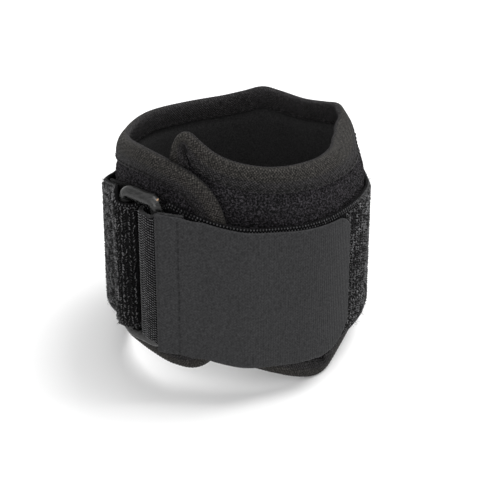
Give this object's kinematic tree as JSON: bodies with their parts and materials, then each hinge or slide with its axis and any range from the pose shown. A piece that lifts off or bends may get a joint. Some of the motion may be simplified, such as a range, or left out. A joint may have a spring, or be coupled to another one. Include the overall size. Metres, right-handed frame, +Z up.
{
  "type": "tennis elbow strap",
  "caption": "Padded forearm cuff with bound edges, held closed by a wide pile strap that runs through a rectangular ring and ends in a hook tab.",
  "frame": {"origin": "middle of the bounding box, on the surface that the cuff's lower rim stands on", "axes": "+Z up along the forearm, the hook tab faces -Y, +X to the right when the tab is seen from the front"},
  "size_m": [0.0964, 0.0972, 0.0935],
  "materials": {
    "cuff_pile": "brushed loop pile outside, smooth knit inside",
    "binding_knit": "fine ribbed knit tape",
    "strap_pile": "loop pile in rows, woven back",
    "ring_plastic": "glossy moulded",
    "tab_fabric": "fine ribbed weave"
  },
  "bodies": {
    "root": {"cuff": "cuff_pile", "cuff_binding": "binding_knit", "strap": "strap_pile", "ring": "ring_plastic", "hook_tab": "tab_fabric"}
  },
  "joints": []
}
